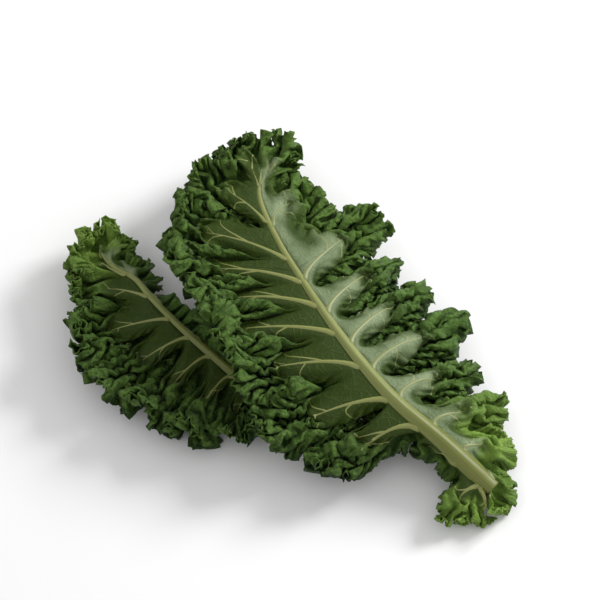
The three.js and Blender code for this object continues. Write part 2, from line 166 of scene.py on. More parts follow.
class Leaf:
    """The surfaces that a leaf's blade, rib and veins are laid on."""

    def __init__(self, facts):
        self.facts = facts
        starts, ends, drawn, hangs, cuts = zip(*facts["veins"])
        self.last = len(starts) - 1
        self.starts = np.array(starts)[:, None]
        self.ends = (np.array(ends) - MIDDLE) * MM
        self.hangs, self.cuts = np.array(hangs), np.array(cuts)
        self.rib_points = (np.array(facts["rib"]) - MIDDLE) * MM
        self.counts = np.linspace(0, len(self.rib_points) - 1, 1401)
        line = spline(self.rib_points, self.counts)
        self.length = np.concatenate(((0,), np.cumsum(np.linalg.norm(np.diff(line, axis=0), axis=1))))
        roots = self.rib_at(self.starts[:, 0])
        width = np.linalg.norm(self.ends - roots, axis=1)
        self.ends += (roots - self.ends) * (np.array(drawn) * MM / width)[:, None]

    def rib_at(self, t):
        return spline(self.rib_points, np.interp(t * self.length[-1], self.length, self.counts))

    def rib_along(self, t):
        step = 0.0005
        return unit(self.rib_at(np.clip(t + step, 0, 1)) - self.rib_at(np.clip(t - step, 0, 1)))

    def rib_half_width(self, t):
        tip, added, power = self.facts["rib_half_width"]
        return (tip * (1 - 0.6 * smooth(0.9, 1, t)) + added * (1 - t) ** power) * MM

    def turned(self, q):
        """0 on the left of the rib and 1 on its right."""
        return smooth(self.facts["tip_vein"] - 0.7, self.facts["tip_vein"] + 0.7, q)

    def fuller(self, q):
        """How much more than elsewhere the blade is frilled."""
        return sum(more * bell(q, at, spread) for at, spread, more in self.facts["fuller"])

    def zone(self, q, reach):
        """How wide a strip along the margin is frilled, where the blade is as wide as its reach."""
        return np.minimum(ZONE * (0.84 + 0.16 * self.turned(q) + self.fuller(q)), 0.9 * reach)

    def plain(self, q, v):
        """The blade before it is folded, at vein counts q and shares v of the way to the margin."""
        q, v = np.broadcast_arrays(np.clip(q, 0, self.last), v)
        t = np.clip(spline(self.starts, q, centripetal=False)[..., 0], 0, 1)
        start, along, end = self.rib_at(t), self.rib_along(t), spline(self.ends, q)
        side = unit(np.stack((-along[..., 1], along[..., 0], 0 * t), -1))
        side = np.where((q > self.facts["tip_vein"])[..., None], -side, side)
        level = np.array((1.0, 1.0, 0.0))
        turn = smooth(TIP_TURN, 1, t)[..., None]
        side = unit(side + (unit((end - start) * level) - side) * turn)
        start = start + side * (self.rib_half_width(t) + RIB_GAP)[..., None]
        out = (end - start) * level
        width = np.linalg.norm(out, axis=-1)
        mean, swing = self.facts["roll"]
        roll = np.radians(mean + swing * np.sin(ROLL_PACE * q + self.facts["phase"]))
        rest = 1 - FLAT_SHARE
        turned = roll * np.maximum(v - FLAT_SHARE, 0) / rest
        full = FLAT_SHARE + rest * np.sin(roll) / roll
        reach = np.minimum(v, FLAT_SHARE) + rest * np.sin(turned) / roll
        rise = rest * (1 - np.cos(turned)) / roll
        point = start + unit(out) * (width * reach / full)[..., None]
        down = start[..., 2] + (end - start)[..., 2] * np.maximum(v, 0) ** DOME_POWER
        point[..., 2] = down + width * rise / full
        return point


# The cuts between the side veins are narrow on the left of the rib and wide on its right, so that on the
# right each vein has a lobe of its own.
CUT_POWERS = (2.4, 0.8)
WIDEST_CUT = 0.7


def drawn_in(leaf, q):
    """How far out a column reaches: the margin draws in between two veins."""
    deep = leaf.cuts[np.clip(np.floor(q).astype(int), 0, leaf.last - 1)]
    power = CUT_POWERS[0] + (CUT_POWERS[1] - CUT_POWERS[0]) * leaf.turned(q) - 2 * leaf.fuller(q)
    return 1 - deep * (0.5 - 0.5 * np.cos(2 * np.pi * q)) ** np.maximum(power, WIDEST_CUT)


# The blade is laid in rows from the rib to the margin. It starts as gentle lobes with a few curls: how steep
# a lobe's flanks are in degrees and how high it stands between the veins, left and right, and for each kind
# of curl its length, its steepness, and where on the way to the edge it comes in and fades. Two slow waves
# make the curls unlike each other.
LOBE_SLOPES = (14, 10)
RISES = (5 * MM, 2.5 * MM)
SEED_CURLS = ((15 * MM, 78, (0, 0.5), (0.45, 0.8)), (7.3 * MM, 66, (0.45, 0.85), (2, 3)))
DRIFTS, DRIFT_RUNS = (1.5, 0.9), (31 * MM, 13 * MM)
PROBE = 0.01  # how far to either side a direction on the blade is measured


def start_row(leaf, v, q, run, reach_out):
    """One row of the blade at the start, a meander over the plain surface."""
    out = v * drawn_in(leaf, q)
    centre = leaf.plain(q, out)
    steps = np.concatenate(((0,), np.linalg.norm(np.diff(centre, axis=0), axis=1)))
    ease = smooth(0, 0.25, q) * smooth(0, 0.25, leaf.last - q)
    turned = leaf.turned(q)
    slope = LOBE_SLOPES[0] + (LOBE_SLOPES[1] - LOBE_SLOPES[0]) * turned
    slope = -slope * smooth(0.05, 0.7, v) * np.sin(2 * np.pi * q)
    edge = smooth(0, 1, 1 - (1 - v) * reach_out / leaf.zone(q, reach_out))
    drift = DRIFTS[0] * np.sin(run / DRIFT_RUNS[0] + leaf.facts["phase"])
    drift = drift + DRIFTS[1] * np.sin(run / DRIFT_RUNS[1])
    for n, (length, steep, rise, fall) in enumerate(SEED_CURLS):
        turn = 2 * np.pi * run / length + drift * (n + 1) + 2.5 * v
        strong = smooth(*rise, edge) * (1 - smooth(*fall, edge) * 0.75)
        slope = slope + steep * strong * np.sin(turn)
    slope = np.radians(ease * slope)
    total, reach = steps.sum(), (steps * np.cos(slope)).sum()
    shift = np.cumsum(steps * total * np.cos(slope) / reach - steps)
    height = np.cumsum(steps * total * np.sin(slope) / reach)
    crests = np.searchsorted(q, np.arange(leaf.last + 1) - 1e-6)
    shift = shift - np.interp(q, q[crests], shift[crests])
    height = height - np.interp(q, q[crests], height[crests])
    across = leaf.plain(q + PROBE, out) - leaf.plain(q - PROBE, out)
    at = np.clip(q + shift * 2 * PROBE / np.linalg.norm(across, axis=-1), 0, leaf.last)
    across = leaf.plain(at + PROBE, out) - leaf.plain(at - PROBE, out)
    outward = leaf.plain(at, out + PROBE) - leaf.plain(at, out - PROBE)
    normal = unit(np.cross(across, outward))
    rise = RISES[0] + (RISES[1] - RISES[0]) * turned
    height = height + rise * edge**2 * ease * np.sin(np.pi * q) ** 2
    point = leaf.plain(at, out) + normal * height[:, None]
    point[:, 2] = point[:, 2] - np.interp(q, np.arange(leaf.last + 1), leaf.hangs) * MM * edge
    return point


# Then it grows: the nearer the margin, the more each row lengthens, and it has to buckle. Each stage works on
# every so many columns and rows, and makes the margin so much longer, in a strip of so many millimetres. It
# takes so many rounds. It starts with bumps of a height and a wave in millimetres, and pushes folds a gap
# apart, but for the last stage, which doesn't. Its start shape pulls it back lightly, it is a little stiff,
# and it widens across as it lengthens.
Stage = namedtuple("Stage", "columns rows longer strip rounds bump wave gap pull stiff wider")
STAGES = (
    Stage(4, 2, 2.3, 46, 200, 1.1, 0, 4.0, 0.0015, 0.06, 0.35),
    Stage(2, 1, 1.85, 24, 150, 0.8, 5.2, 2.8, 0.0004, 0.05, 0.8),
    Stage(1, 1, 1.75, 11, 120, 0.5, 1.7, 0, 0.0004, 0.035, 1.2),
)
LENGTHENED = 0.85 * math.prod(stage.longer for stage in STAGES)
SPACING = 2.5 * MM  # of the columns along the grown margin
HELD_ROWS, HELD_SHARE = 4, 0.2  # rows beside the rib that don't move
ROWS = 33  # from there to the margin
LOW = (-0.169, -0.158, 0.0006)  # the space that the leaves lie in
HIGH = (0.169, 0.158, 0.068)
UNEVEN, UNEVEN_RUNS = (0.22, 0.15), (27 * MM, 9.5 * MM)  # two slow waves in how much the margin grows
PLAIN_HOLD = 0.05  # how firmly the blade is held beside the rib, each round
FULL_GROWN = 0.8  # the share of a stage's rounds after which the blade has its full lengths
FIRM, SLANT = 0.28, 0.06  # how fast lengths are reached each round, straight and slantwise
PUSH = 0.3  # how much of what is missing to the gap a round gives back
SEARCH_EVERY = 8
SEARCHED = 1.3  # how far in from the margin all points are searched, in strips; farther in, each third is
AWAY = 99.0  # farther along the blade than any leaf is long


def close_pairs(points, spots, cell):
    """Pairs of points closer than a cell, and further apart than two cells along the blade itself."""
    where = ((points - points.min(0)) / cell + 1).astype(np.int32)
    size = where.max(0) + 2
    key = (where[:, 0] * size[1] + where[:, 1]) * size[2] + where[:, 2]
    order = np.argsort(key, kind="stable").astype(np.int32)
    ranked, sorted_points = key[order], points[order]
    x, y, z = (np.ascontiguousarray(sorted_points[:, k]) for k in range(3))
    places = np.arange(len(points), dtype=np.int32)
    first, second = [], []
    for a, b in ((0, 0), (0, 1), (1, -1), (1, 0), (1, 1)):
        # The cells one row over are neighbours in the order too, so three of them are one stretch.
        wanted = ranked + (a * size[1] + b) * size[2]
        high = np.searchsorted(ranked, wanted + 1, "right").astype(np.int32)
        low = places + 1
        if (a, b) != (0, 0):
            low = np.searchsorted(ranked, wanted - 1, "left").astype(np.int32)
        alive = places[low < high]
        low, high = low[alive], high[alive]
        while len(alive):
            away = (x[alive] - x[low]) ** 2 + (y[alive] - y[low]) ** 2 + (z[alive] - z[low]) ** 2
            near = away < cell * cell
            first.append(alive[near])
            second.append(low[near])
            low = low + 1
            more = low < high
            alive, low, high = alive[more], low[more], high[more]
    first, second = order[np.concatenate(first)], order[np.concatenate(second)]
    far = ((spots[first] - spots[second]) ** 2).sum(1) > 4 * cell * cell
    return first[far], second[far]


def halfway(a, axis):
    """The same sheet with a point added between each two along one axis, on a smooth line."""
    a = np.moveaxis(a, axis, 0)
    fine = np.empty((2 * len(a) - 1,) + a.shape[1:], a.dtype)
    fine[::2] = a
    fine[1::2] = (a[1:] + a[:-1]) / 2
    fine[3:-2:2] = (9 * (a[2:-1] + a[1:-2]) - a[3:] - a[:-3]) / 16
    return np.moveaxis(fine, 0, axis)


def drawn_by_neighbours(point, along, across):
    """How far each point moves toward the lengths that the tissue round it has."""
    slant = np.hypot(0.5 * (along[1:] + along[:-1]), across[:, 1:])
    move = np.zeros_like(point)
    for a, b, rest, weight in (
        (np.s_[:, 1:], np.s_[:, :-1], along, FIRM),
        (np.s_[1:], np.s_[:-1], across, FIRM),
        (np.s_[1:, 1:], np.s_[:-1, :-1], slant, SLANT),
        (np.s_[1:, :-1], np.s_[:-1, 1:], slant, SLANT),
    ):
        d = point[a] - point[b]
        n = np.sqrt(np.einsum("ijk,ijk->ij", d, d))
        d *= (weight * (n - rest) / np.maximum(n, 1e-9))[..., None]
        move[a] -= d
        move[b] += d
    return move


def bent(point):
    """How far each point is from the middle of its neighbours."""
    bend = np.zeros_like(point)
    bend[:, 1:-1] += 0.5 * (point[:, 2:] + point[:, :-2]) - point[:, 1:-1]
    bend[1:-1] += 0.5 * (point[2:] + point[:-2]) - point[1:-1]
    return bend


def push_apart(flat, active, still, first, second, gap):
    """Moves the growing points of each close pair away from each other."""
    everything = np.concatenate((flat[active], still))
    d = everything[first] - everything[second]
    n = np.linalg.norm(d, axis=1)
    d *= (PUSH * np.maximum(gap - n, 0) / np.maximum(n, 1e-9))[:, None]
    for axis in range(3):
        push = np.bincount(first, d[:, axis], len(everything))
        push -= np.bincount(second, d[:, axis], len(everything))
        flat[active, axis] += push[: len(active)]


def bumped(rng, stage, run, outs):
    """How high the first bumps of a stage are, in shares: soft noise, and later waves both ways."""
    bumps = rng.normal(0, 1, outs.shape).astype(np.float32)
    for _ in range(2):
        bumps[:, 1:-1] = (bumps[:, 2:] + bumps[:, :-2] + bumps[:, 1:-1]) / 3
        bumps[1:-1] = (bumps[2:] + bumps[:-2] + bumps[1:-1]) / 3
    if stage.wave:
        turn = 2 * np.pi * run / (stage.wave * MM) + 2 * np.sin(run / (11 * MM))
        grain = outs / (0.6 * stage.wave * MM) * 2 * np.pi
        waves = 0.9 * np.sin(turn + 1.5 * np.sin(grain)) * np.cos(grain + 2 * np.sin(0.7 * turn))
        bumps = 1.2 * bumps + waves
    return bumps


def laid_out(leaf):
    """The vein count of each column and how far along the margin it is, and the share of each row."""
    fine = np.linspace(0, leaf.last, 6001)
    margin = leaf.plain(fine, drawn_in(leaf, fine))
    length = np.concatenate(((0,), np.cumsum(np.linalg.norm(np.diff(margin, axis=0), axis=1))))
    columns = 8 * int(length[-1] * LENGTHENED / SPACING / 8) + 1
    run = np.linspace(0, length[-1], columns)
    held = np.linspace(0, HELD_SHARE, HELD_ROWS + 1)[:-1]
    return np.interp(run, length, fine), run, np.concatenate((held, np.linspace(HELD_SHARE, 1, ROWS)))


def crowd(searched, grown_along, outs, still):
    """Which points can touch others, and where on the blade itself they and the still points are."""
    grown_run = np.concatenate((np.zeros((len(outs), 1)), np.cumsum(grown_along, axis=1)), axis=1)
    active = np.flatnonzero((searched | (np.arange(outs.shape[1]) % 3 == 0)).ravel())
    spots = np.stack((grown_run, outs), -1).reshape(-1, 2)[active]
    aside = np.stack((np.full(len(still), AWAY), np.arange(len(still)) * AWAY), -1)
    return active, np.concatenate((spots, aside))


def settle(point, goal, stage, along, across, hold, active, spots, still):
    """The rounds of one stage, in which the lengths grow from begun to full, and the blade follows them."""
    low, high = np.array(LOW, np.float32), np.array(HIGH, np.float32)
    gap = stage.gap * MM
    first = second = np.zeros(0, int)
    for k in range(stage.rounds):
        t = min(1, (k + 1) / (FULL_GROWN * stage.rounds))
        now = [(begun + (full - begun) * t).astype(np.float32) for begun, full in (along, across)]
        point += drawn_by_neighbours(point, *now)
        point += stage.stiff * bent(point)
        point += hold * (goal - point)
        if gap:
            flat = point.reshape(-1, 3)
            if k % SEARCH_EVERY == 0 and k > SEARCH_EVERY:
                first, second = close_pairs(np.concatenate((flat[active], still)), spots, gap)
                moving = (first < len(active)) | (second < len(active))
                first, second = first[moving], second[moving]
            if len(first):
                push_apart(flat, active, still, first, second, gap)
        np.clip(point, low, high, out=point)
        point[0] = goal[0]


Grown = namedtuple("Grown", "q shares rows edge")


def grow(leaf, fixed):
    """The grown blade: rows from the rib to the margin, each with the same vein counts."""
    rng = np.random.default_rng(leaf.last)
    q, run, shares = laid_out(leaf)
    reach_out = np.linalg.norm(leaf.plain(q, drawn_in(leaf, q)) - leaf.plain(q, 0), axis=-1)
    rows = np.array([start_row(leaf, v, q, run, reach_out) for v in shares]).astype(np.float32)
    still = np.concatenate((fixed, rows[:HELD_ROWS, ::4].reshape(-1, 3)))
    whole_goal = rows[HELD_ROWS:].copy()
    whole_plain = np.array([leaf.plain(q, v * drawn_in(leaf, q)) for v in shares[HELD_ROWS:]])
    steps = np.linalg.norm(np.diff(whole_goal, axis=0), axis=-1)
    out = np.concatenate((np.zeros((1, len(q))), np.cumsum(steps, axis=0)))
    inward = out[-1] - out
    zone = leaf.zone(q, out[-1])
    whole_edge = smooth(0, 1, 1 - inward / zone)
    uneven = 1 + UNEVEN[0] * np.sin(run / UNEVEN_RUNS[0] + leaf.facts["phase"])
    uneven = uneven + UNEVEN[1] * np.sin(run / UNEVEN_RUNS[1])
    for at, spread, less in leaf.facts["calm"]:
        uneven = uneven * (1 - less * bell(q, at, spread))
    before = None
    for number, stage in enumerate(STAGES):
        thinned = np.s_[:: stage.rows, :: stage.columns]
        goal, plain, edge, outs = (whole[thinned] for whole in (whole_goal, whole_plain, whole_edge, out))
        if before is None:
            point = goal.copy()
        else:
            if before.columns != stage.columns:
                point = halfway(point, 1)
            if before.rows != stage.rows:
                point = halfway(point, 0)
        before = stage
        near = [smooth(0, 1, 1 - inward / (zone * each.strip * MM / ZONE))[thinned] for each in STAGES]
        growth = 1 + (STAGES[0].longer * uneven[:: stage.columns] - 1) * near[0]
        for n in range(1, number + 1):
            growth = growth * (1 + (STAGES[n].longer - 1) * near[n])
        plain_along = np.linalg.norm(plain[:, 1:] - plain[:, :-1], axis=-1)
        full_along = plain_along * 0.5 * (growth[:, 1:] + growth[:, :-1])
        begun_along = np.linalg.norm(point[:, 1:] - point[:, :-1], axis=-1)
        begun_along = np.minimum(begun_along, np.maximum(full_along, plain_along))
        full_along = np.maximum(full_along, begun_along)
        begun_across = np.linalg.norm(point[1:] - point[:-1], axis=-1)
        wider = 1 + stage.wider * 0.5 * (edge[1:] + edge[:-1])
        full_across = np.linalg.norm(goal[1:] - goal[:-1], axis=-1) * wider
        hold = PLAIN_HOLD * (1 - smooth(0, 0.45, edge)) ** 2 + stage.pull
        active, spots = crowd((inward < SEARCHED * zone)[thinned], full_along, outs, still)
        bumps = bumped(rng, stage, run[:: stage.columns], outs) * stage.bump * MM * near[number]
        normal = unit(np.cross(np.gradient(point, axis=1), np.gradient(point, axis=0)))
        point += (normal * bumps[..., None]).astype(np.float32)
        settle(
            point, goal, stage, (begun_along, full_along), (begun_across, full_across),
            hold[..., None].astype(np.float32), active, spots, still,
        )
    rows[HELD_ROWS:] = point
    edge = np.concatenate((np.repeat(whole_edge[:1], HELD_ROWS, 0), whole_edge))
    return Grown(q, shares, rows, edge)


def leant(leaf, q, v):
    """The vein count of a point once the veins' roots are swept back toward the leaf's base."""
    lean = 0.42 - 0.7 * leaf.turned(q)
    return q + lean * np.exp(-v / 0.16) * smooth(0, 0.6, q) * smooth(0, 0.6, leaf.last - q)


def evened(z):
    """Heights averaged over the neighbours along both ways."""
    for axis, reach in ((0, 4), (1, 9)):
        for _ in range(2):
            total = np.cumsum(np.insert(z, 0, 0, axis=axis), axis=axis)
            n = z.shape[axis]
            low = np.maximum(np.arange(n) - reach, 0)
            high = np.minimum(np.arange(n) + reach + 1, n)
            wide = (high - low).reshape((-1, 1) if axis == 0 else (1, -1))
            z = (np.take(total, high, axis) - np.take(total, low, axis)) / wide
    return z


def marks(leaf, blade):
    """What the blade's finish reads at each point: crests (painted highlight on high points, painted shade on
    low ones), frill, pale bloom with its painted sheen, young tissue with painted light at the tip, and side.
    """
    share = np.broadcast_to(blade.shares[:, None], blade.rows.shape[:2])
    vein = np.broadcast_to(blade.q, blade.rows.shape[:2])
    tip = leaf.facts["tip_vein"]
    right = smooth(tip - 0.5, tip + 0.5, vein)
    nearest = leant(leaf, vein, share)
    by_vein = np.abs(nearest - np.round(nearest))
    strip_edge = 0.32 + 0.07 * np.sin(23 * share + 3 * vein)
    strip = np.maximum(1 - smooth(0.02, strip_edge, by_vein), 0.75 - 0.75 * smooth(0.1, 0.3, share))
    # The pale bloom is a waxy bloom and a painted sheen: it lies mostly right of the rib, on the lit side,
    # and fades on low faces.
    bloom = (0.05 + 0.8 * right) * strip * (1 - smooth(0.3, 0.85, blade.edge))
    bloom = bloom * (1 - smooth(0.42, 0.62, share)) * smooth(0.5, 1.8, leaf.last - vein)
    young = np.zeros(blade.rows.shape[:2])
    for at, spread, much in leaf.facts["young"]:
        young += much * bell(vein, at, spread) * smooth(0.3, 0.6, share)
    z = blade.rows[..., 2]
    # How far a point stands above its neighbours: the frill is painted with highlight on these crests and
    # with shade in the hollows.
    crest = smooth(-2.5 * MM, 3.5 * MM, z - evened(z.astype(float)))
    bloom = bloom * (1 - smooth(0.3, 0.5, share) * (1 - smooth(0.1, 0.4, crest)))
    return {"crest": crest, "frill": blade.edge, "bloom": bloom, "young": young, "right": right}


def new_piece(name, points, faces, values):
    """A piece with a smooth mesh of its own, and named values kept at its points."""
    mesh = bpy.data.meshes.new(name)
    mesh.from_pydata(points.astype(float).tolist(), [], faces)
    for key, value in values.items():
        layer = mesh.attributes.new(key, "FLOAT", "POINT")
        layer.data.foreach_set("value", value.astype(np.float32))
    mesh.shade_smooth()
    piece = bpy.data.objects.new(name, mesh)
    bpy.context.scene.collection.objects.link(piece)
    return piece


# The meshes are coarser near the rib: the stride between the columns kept in each row.
STRIDES = [8] * 3 + [4] * 9 + [2] * 11 + [1] * 14
BLADE_THICKNESS = 0.5 * MM


def sheet(name, rows, values):
    """A thin blade through the rows, with a wall of its own thickness."""
    columns = rows.shape[1]
    ids, kept, total = [], [], 0
    for r, stride in enumerate(STRIDES):
        picked = np.arange(0, columns, stride)
        row = np.full(columns, -1)
        row[picked] = total + np.arange(len(picked))
        total += len(picked)
        ids.append(row)
        kept.append(r * columns + picked)
    faces = []
    for r, (wide, narrow) in enumerate(zip(STRIDES, STRIDES[1:])):
        left = np.arange(0, columns - 1, wide)
        a, b = ids[r][left], ids[r][left + wide]
        c, d = ids[r + 1][left], ids[r + 1][left + wide]
        if wide == narrow:
            faces += np.stack((a, b, d, c), -1).tolist()
        else:
            m = ids[r + 1][left + narrow]
            for three in ((a, b, m), (b, d, m), (a, m, c)):
                faces += np.stack(three, -1).tolist()
    kept = np.concatenate(kept)
    kept_values = {key: value.reshape(-1)[kept] for key, value in values.items()}
    piece = new_piece(name, rows.reshape(-1, 3)[kept], faces, kept_values)
    bpy.ops.object.select_all(action="DESELECT")
    bpy.context.view_layer.objects.active = piece
    wall = piece.modifiers.new("thickness", "SOLIDIFY")
    wall.thickness = BLADE_THICKNESS
    wall.offset = 0
    bpy.ops.object.modifier_apply(modifier=wall.name)
    return piece


# The small leaf was laid down first, and the large one grows over it. The large blade is laid in three
# meshes that meet at two of its side veins, because one would be too heavy.
leaves = {"leaf_1": Leaf(LARGE_LEAF), "leaf_2": Leaf(SMALL_LEAF)}
PARTS = {
    "leaf_1": (("leaf_1_left_blade", None, 8), ("leaf_1_tip_blade", 8, 14), ("leaf_1_right_blade", 14, None)),
    "leaf_2": (("leaf_2_whole_blade", None, None),),
}
grown, blades = {}, {}
for name in ("leaf_2", "leaf_1"):
    under = [blade.rows[HELD_ROWS:, ::2].reshape(-1, 3) for blade in grown.values()]
    grown[name] = blade = grow(leaves[name], np.concatenate([np.zeros((0, 3))] + under))
    values = marks(leaves[name], blade)
    for piece_name, first_vein, last_vein in PARTS[name]:
        begin, end = (
            None if vein is None else 8 * int(round(np.searchsorted(blade.q, vein) / 8))
            for vein in (first_vein, last_vein)
        )
        part = np.s_[:, begin : None if end is None else end + 1]
        cut_values = {key: value[part] for key, value in values.items()}
        blades[piece_name] = sheet(piece_name, blade.rows[part], cut_values)

# Linear colours: the blade between the veins on the left, darker in painted shade, and on the right, lighter
# in painted light, its darker patches and its fine net of veins; the frill in its hollows and on its sides in
# painted shade, on its crests in painted highlight and in full light; young tissue, lightened at the tip as
# painted light, the bloom along the veins with its painted sheen, and light that comes through.
PLAIN_LEFT_SHADED, PLAIN_RIGHT_LIT = (0.036, 0.066, 0.002), (0.05, 0.09, 0.014)
PLAIN_DARK, NET = (0.02, 0.043, 0.006), (0.09, 0.12, 0.02)
FRILL_HOLLOW_SHADE, FRILL_SIDE = (0.010, 0.030, 0.004), (0.028, 0.066, 0.008)
FRILL_CREST_HIGHLIGHT, FRILL_LIT = (0.092, 0.172, 0.028), (0.1, 0.2, 0.035)
YOUNG_AND_LIGHTENED, BLOOM_AND_SHEEN = (0.2, 0.33, 0.052), (0.31, 0.385, 0.215)
GREY, THROUGH = (0.5, 0.5, 0.5), (0.2, 0.4, 0.02)


def link(tree, a, b):
    tree.links.new(a, b)


def node(tree, kind, **values):
    """A node with its settings and inputs given by name."""
    made = tree.nodes.new(kind)
    for key, value in values.items():
        if hasattr(made, key):
            setattr(made, key, value)
        else:
            made.inputs[key.replace("_", " ")].default_value = value
    return made


def feed(tree, socket, value):
    """Gives a socket a link, a colour or a number."""
    if hasattr(value, "is_linked"):
        link(tree, value, socket)
    elif isinstance(value, tuple):
        socket.default_value = value + (1,)
    else:
        socket.default_value = value


def mix(tree, share, a, b, blend="MIX"):
    made = node(tree, "ShaderNodeMix", data_type="RGBA", blend_type=blend)
    for socket, value in ((made.inputs[0], share), (made.inputs[6], a), (made.inputs[7], b)):
        feed(tree, socket, value)
    return made.outputs[2]


def maths(tree, kind, *values):
    made = node(tree, "ShaderNodeMath", operation=kind)
    for socket, value in zip(made.inputs, values):
        feed(tree, socket, value)
    return made.outputs[0]


def times(tree, a, b):
    return maths(tree, "MULTIPLY", a, b)


def times_add(tree, a, b, c):
    return maths(tree, "MULTIPLY_ADD", a, b, c)


def ramp(tree, value, low, high):
    made = node(tree, "ShaderNodeMapRange", interpolation_type="SMOOTHSTEP")
    feed(tree, made.inputs[0], value)
    feed(tree, made.inputs[1], low)
    feed(tree, made.inputs[2], high)
    return made.outputs[0]


def noise_on(tree, place, scale, detail, roughness=0.5):
    made = node(tree, "ShaderNodeTexNoise", Scale=scale, Detail=detail, Roughness=roughness)
    link(tree, place, made.inputs["Vector"])
    return made


def kept_value(tree, key):
    return node(tree, "ShaderNodeAttribute", attribute_name=key).outputs["Fac"]


def material(name):
    """A material with its tree, its shader and the place on the object."""
    made = bpy.data.materials.new(name)
    made.use_nodes = True
    tree = made.node_tree
    place = tree.nodes.new("ShaderNodeTexCoord").outputs["Object"]
    return made, tree, tree.nodes["Principled BSDF"], place


green, tree, shader, place = material("kale blade")
crest, frill, bloom, young, right = (
    kept_value(tree, key) for key in ("crest", "frill", "bloom", "young", "right")
)
patchy = noise_on(tree, place, 38.0, 3.0).outputs["Fac"]
grain = noise_on(tree, place, 420.0, 3.0)
speckle = grain.outputs["Fac"]
crinkle = noise_on(tree, place, 230.0, 2.0, 0.55).outputs["Fac"]
bent_place = node(tree, "ShaderNodeVectorMath", operation="MULTIPLY_ADD")
link(tree, grain.outputs["Color"], bent_place.inputs[0])
bent_place.inputs[1].default_value = (0.0012, 0.0012, 0.0012)
link(tree, place, bent_place.inputs[2])
nets = []
for scale in (150.0, 420.0):
    cells = node(tree, "ShaderNodeTexVoronoi", feature="DISTANCE_TO_EDGE", Scale=scale)
    link(tree, bent_place.outputs[0], cells.inputs["Vector"])
    nets.append(ramp(tree, cells.outputs["Distance"], 0.0, 0.09))
# Painted shade left of the rib and painted light right of it, over a more olive tone on the left.
plain = mix(tree, right, PLAIN_LEFT_SHADED, PLAIN_RIGHT_LIT)
plain = mix(tree, times(tree, patchy, 0.6), plain, PLAIN_DARK)
plain = mix(tree, times_add(tree, nets[0], -0.22, 0.22), plain, NET)
# The frill is painted shade in its hollows, painted highlight on its crests and fine knobs, and more painted
# light right of the rib.
curls = mix(tree, ramp(tree, patchy, 0.35, 0.65), FRILL_HOLLOW_SHADE, FRILL_SIDE)
knob_highlights = times_add(tree, ramp(tree, crinkle, 0.35, 0.65), 0.9, 0.35)
curls = mix(tree, times(tree, crest, knob_highlights), curls, FRILL_CREST_HIGHLIGHT)
curls = mix(tree, times(tree, right, 0.3), curls, FRILL_LIT)
colour = mix(tree, ramp(tree, frill, 0.12, 0.6), plain, curls)
# Young tissue is lighter; at the tip this lightening is painted light.
colour = mix(tree, young, colour, YOUNG_AND_LIGHTENED)
# Pale waxy bloom with painted sheen, along the veins on the lit right side.
colour = mix(tree, times(tree, bloom, ramp(tree, patchy, 0.1, 0.6)), colour, BLOOM_AND_SHEEN)
colour = mix(tree, times(tree, speckle, 0.35), colour, GREY, "OVERLAY")
link(tree, colour, shader.inputs["Base Color"])
link(tree, times_add(tree, speckle, 0.3, 0.36), shader.inputs["Roughness"])
shader.inputs["Specular IOR Level"].default_value = 0.18
shader.inputs["Sheen Weight"].default_value = 0.03
shader.inputs["Sheen Roughness"].default_value = 0.4
relief = times_add(tree, nets[0], -0.4, times(tree, nets[1], -0.2))
relief = times_add(tree, speckle, 0.5, relief)
puckers = times(tree, crinkle, ramp(tree, frill, 0.1, 0.5))
bump = node(tree, "ShaderNodeBump", Strength=0.85, Distance=0.0008)
link(tree, times_add(tree, puckers, 4.5, relief), bump.inputs["Height"])
link(tree, bump.outputs["Normal"], shader.inputs["Normal"])
glow = node(tree, "ShaderNodeBsdfTranslucent")
link(tree, mix(tree, 0.5, colour, THROUGH), glow.inputs["Color"])
both = node(tree, "ShaderNodeMixShader", Fac=0.16)
link(tree, shader.outputs[0], both.inputs[1])
link(tree, glow.outputs[0], both.inputs[2])
link(tree, both.outputs[0], tree.nodes["Material Output"].inputs["Surface"])

for name, piece in blades.items():
    piece.data.materials.append(green)
    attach(piece, "root")
    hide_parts(name[: len("leaf_1")] + "_blade")

# ---- Midribs ----
# Each leaf hangs on one juicy strand, pale yellow-green, thick and round where it was cut from the stalk and
# thin at the tip. Its flanks run out into the blade that grew on it.

RIB_RINGS, RIB_POINTS = 150, 28
RIB_FLARE = 0.36
RIB_DEPTH = 0.8 * MM
FLANK = 0.55 * MM
BARE_END = 0.07  # the share of the rib that is round, before its flanks begin


def ring(centre, side, up, wide, high, deep, flare, points):
    """One closed outline round a strand: a rounded top with hollow flanks, and a shallow underside."""
    angle = np.linspace(0, 2 * np.pi, points, endpoint=False)
    x, y = np.cos(angle), np.sin(angle)
    top = y >= 0
    out = wide * np.where(top, x * (1 + flare * (1 - np.abs(y)) ** 2), x * (1 + flare))
    rise = np.where(top, high * np.abs(y) ** (1 + 0.6 * flare), -deep * np.abs(y) ** 0.7)
    return centre + side * out[:, None] + up * rise[:, None]


def tube(rings):
    """Points and faces of a closed strand through rings of the same count."""
    count = len(rings[0])
    around = np.arange(count)
    faces = []
    for k in range(len(rings) - 1):
        a, b = k * count + around, k * count + (around + 1) % count
        faces += np.stack((a, b, b + count, a + count), -1).tolist()
    faces.append(around[::-1].tolist())
    faces.append(((len(rings) - 1) * count + around).tolist())
    return np.concatenate(rings), faces


